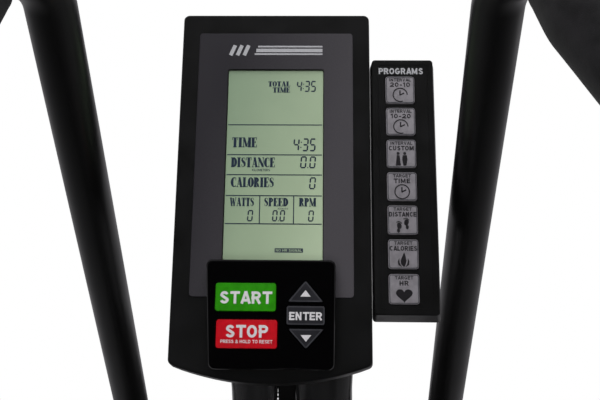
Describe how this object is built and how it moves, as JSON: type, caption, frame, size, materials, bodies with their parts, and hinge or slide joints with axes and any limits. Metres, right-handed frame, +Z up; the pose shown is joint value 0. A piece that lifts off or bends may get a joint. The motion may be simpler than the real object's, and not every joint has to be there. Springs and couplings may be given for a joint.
{
  "type": "air bike",
  "caption": "Fan-resistance exercise bike with swinging push-pull arms, foot pegs, adjustable saddle and a tilted console with a display, a key pod and a side panel of program keys.",
  "frame": {"origin": "on the floor, in the middle of the bounding box's footprint", "axes": "+X to the rider's right, +Y the way the rider faces, +Z up"},
  "size_m": [0.6112, 1.2898, 1.263],
  "materials": {
    "black_paint": "satin black powder coat",
    "guard_paint": "satin black wire",
    "black_plastic": "fine satin texture",
    "knob_plastic": "satin",
    "gloss_black": "polished",
    "grey_overlay": "satin film",
    "lcd_glass": "smooth, reflective display",
    "circuit_board": "solder mask",
    "green_key": "satin",
    "red_key": "satin",
    "grey_key": "satin",
    "steel": "bright",
    "chrome": "plated",
    "alloy": "turned",
    "crank_paint": "satin",
    "fan_blade": "satin",
    "rubber": "moulded",
    "belt_rubber": "ribbed",
    "foam": "closed-cell foam skin",
    "saddle_vinyl": "grained vinyl"
  },
  "bodies": {
    "frame": {"front_stabiliser": "black_paint", "rear_stabiliser": "black_paint", "spine_tube": "black_paint", "crank_post": "black_paint", "seat_tube": "black_paint", "pivot_bracket": "black_paint", "left_stay": "black_paint", "right_stay": "black_paint", "left_mast_post": "black_paint", "right_mast_post": "black_paint", "mast_head": "black_paint", "left_fan_guard": "guard_paint", "right_fan_guard": "guard_paint", "drive_belt": "belt_rubber", "left_drive_cover": "black_plastic", "right_drive_cover": "black_plastic", "pivot_shaft": "steel", "left_foot_peg": "rubber", "right_foot_peg": "rubber", "console_front_case": "black_plastic", "console_rear_case": "black_plastic", "console_overlay": "grey_overlay", "lcd_module": "lcd_glass", "button_pod": "gloss_black", "programs_panel": "black_plastic", "console_board": "circuit_board"},
    "crank": {"crank_axle": "steel", "left_crank": "crank_paint", "right_crank": "crank_paint", "drive_pulley": "alloy"},
    "fan": {"fan_wheel": "fan_blade", "fan_shaft": "steel"},
    "left_pedal": {"left_pedal": "black_plastic"},
    "right_pedal": {"right_pedal": "black_plastic"},
    "left_rod": {"left_link_rod": "crank_paint"},
    "right_rod": {"right_link_rod": "crank_paint"},
    "left_arm": {"left_arm": "black_paint", "left_grip": "foam"},
    "right_arm": {"right_arm": "black_paint", "right_grip": "foam"},
    "seat_post": {"seat_post": "chrome"},
    "seat_carriage": {"saddle_carriage": "black_paint", "saddle_pan": "black_plastic", "saddle": "saddle_vinyl"},
    "height_pin": {"height_pin": "knob_plastic"},
    "slide_knob": {"slide_knob": "knob_plastic"},
    "left_wheel": {"left_transport_wheel": "rubber"},
    "right_wheel": {"right_transport_wheel": "rubber"},
    "start_key": {"start_key": "green_key"},
    "stop_key": {"stop_key": "red_key"},
    "up_key": {"up_key": "grey_key"},
    "enter_key": {"enter_key": "grey_key"},
    "down_key": {"down_key": "grey_key"},
    "program_key_1": {"program_key_1": "grey_key"},
    "program_key_2": {"program_key_2": "grey_key"},
    "program_key_3": {"program_key_3": "grey_key"},
    "program_key_4": {"program_key_4": "grey_key"},
    "program_key_5": {"program_key_5": "grey_key"},
    "program_key_6": {"program_key_6": "grey_key"},
    "program_key_7": {"program_key_7": "grey_key"}
  },
  "joints": [
    {"name": "crank_turn", "type": "hinge", "parent": "frame", "child": "crank", "pos_m": [0, -0.18, 0.345], "axis": [1, 0, 0], "continuous": true},
    {"name": "fan_spin", "type": "hinge", "parent": "frame", "child": "fan", "pos_m": [0, 0.345, 0.42], "axis": [1, 0, 0], "continuous": true},
    {"name": "left_pedal_turn", "type": "hinge", "parent": "crank", "child": "left_pedal", "pos_m": [0, -0.18, 0.175], "axis": [1, 0, 0], "continuous": true},
    {"name": "right_pedal_turn", "type": "hinge", "parent": "crank", "child": "right_pedal", "pos_m": [0, -0.18, 0.515], "axis": [1, 0, 0], "continuous": true},
    {"name": "left_rod_turn", "type": "hinge", "parent": "crank", "child": "left_rod", "pos_m": [0, -0.18, 0.319], "axis": [1, 0, 0], "continuous": true},
    {"name": "right_rod_turn", "type": "hinge", "parent": "crank", "child": "right_rod", "pos_m": [0, -0.18, 0.371], "axis": [1, 0, 0], "continuous": true},
    {"name": "left_arm_swing", "type": "hinge", "parent": "frame", "child": "left_arm", "pos_m": [0, 0.075, 0.225], "axis": [1, 0, 0], "range_deg": [-12, 12]},
    {"name": "right_arm_swing", "type": "hinge", "parent": "frame", "child": "right_arm", "pos_m": [0, 0.075, 0.225], "axis": [1, 0, 0], "range_deg": [-12, 12]},
    {"name": "seat_height", "type": "slide", "parent": "frame", "child": "seat_post", "axis": [0, -0.218, 0.9759], "range_m": [-0.0615, 0.123]},
    {"name": "seat_fore_aft", "type": "slide", "parent": "seat_post", "child": "seat_carriage", "axis": [0, 1, 0], "range_m": [-0.035, 0.035]},
    {"name": "height_pin_pull", "type": "slide", "parent": "frame", "child": "height_pin", "axis": [1, 0, 0], "range_m": [0, 0.008], "stiffness_N_per_m": 800, "springref_m": -0.004},
    {"name": "slide_knob_pull", "type": "slide", "parent": "seat_carriage", "child": "slide_knob", "axis": [1, 0, 0], "range_m": [0, 0.006], "stiffness_N_per_m": 800, "springref_m": -0.004},
    {"name": "left_wheel_turn", "type": "hinge", "parent": "frame", "child": "left_wheel", "pos_m": [0, 0.542, 0.05], "axis": [1, 0, 0], "continuous": true},
    {"name": "right_wheel_turn", "type": "hinge", "parent": "frame", "child": "right_wheel", "pos_m": [0, 0.542, 0.05], "axis": [1, 0, 0], "continuous": true},
    {"name": "start_key_press", "type": "slide", "parent": "frame", "child": "start_key", "axis": [0, 0.8829, -0.4695], "range_m": [0, 0.001], "stiffness_N_per_m": 400, "springref_m": -0.001},
    {"name": "stop_key_press", "type": "slide", "parent": "frame", "child": "stop_key", "axis": [0, 0.8829, -0.4695], "range_m": [0, 0.001], "stiffness_N_per_m": 400, "springref_m": -0.001},
    {"name": "up_key_press", "type": "slide", "parent": "frame", "child": "up_key", "axis": [0, 0.8829, -0.4695], "range_m": [0, 0.001], "stiffness_N_per_m": 400, "springref_m": -0.001},
    {"name": "enter_key_press", "type": "slide", "parent": "frame", "child": "enter_key", "axis": [0, 0.8829, -0.4695], "range_m": [0, 0.001], "stiffness_N_per_m": 400, "springref_m": -0.001},
    {"name": "down_key_press", "type": "slide", "parent": "frame", "child": "down_key", "axis": [0, 0.8829, -0.4695], "range_m": [0, 0.001], "stiffness_N_per_m": 400, "springref_m": -0.001},
    {"name": "program_key_1_press", "type": "slide", "parent": "frame", "child": "program_key_1", "axis": [0, 0.8829, -0.4695], "range_m": [0, 0.0008], "stiffness_N_per_m": 400, "springref_m": -0.001},
    {"name": "program_key_2_press", "type": "slide", "parent": "frame", "child": "program_key_2", "axis": [0, 0.8829, -0.4695], "range_m": [0, 0.0008], "stiffness_N_per_m": 400, "springref_m": -0.001},
    {"name": "program_key_3_press", "type": "slide", "parent": "frame", "child": "program_key_3", "axis": [0, 0.8829, -0.4695], "range_m": [0, 0.0008], "stiffness_N_per_m": 400, "springref_m": -0.001},
    {"name": "program_key_4_press", "type": "slide", "parent": "frame", "child": "program_key_4", "axis": [0, 0.8829, -0.4695], "range_m": [0, 0.0008], "stiffness_N_per_m": 400, "springref_m": -0.001},
    {"name": "program_key_5_press", "type": "slide", "parent": "frame", "child": "program_key_5", "axis": [0, 0.8829, -0.4695], "range_m": [0, 0.0008], "stiffness_N_per_m": 400, "springref_m": -0.001},
    {"name": "program_key_6_press", "type": "slide", "parent": "frame", "child": "program_key_6", "axis": [0, 0.8829, -0.4695], "range_m": [0, 0.0008], "stiffness_N_per_m": 400, "springref_m": -0.001},
    {"name": "program_key_7_press", "type": "slide", "parent": "frame", "child": "program_key_7", "axis": [0, 0.8829, -0.4695], "range_m": [0, 0.0008], "stiffness_N_per_m": 400, "springref_m": -0.001}
  ],
  "couplings": [
    {"joint": "fan_spin", "follows": "crank_turn", "ratio": 4.6154},
    {"joint": "left_rod_turn", "follows": "crank_turn", "ratio": -1},
    {"joint": "right_rod_turn", "follows": "crank_turn", "ratio": -1},
    {"joint": "right_arm_swing", "follows": "left_arm_swing", "ratio": -1}
  ]
}
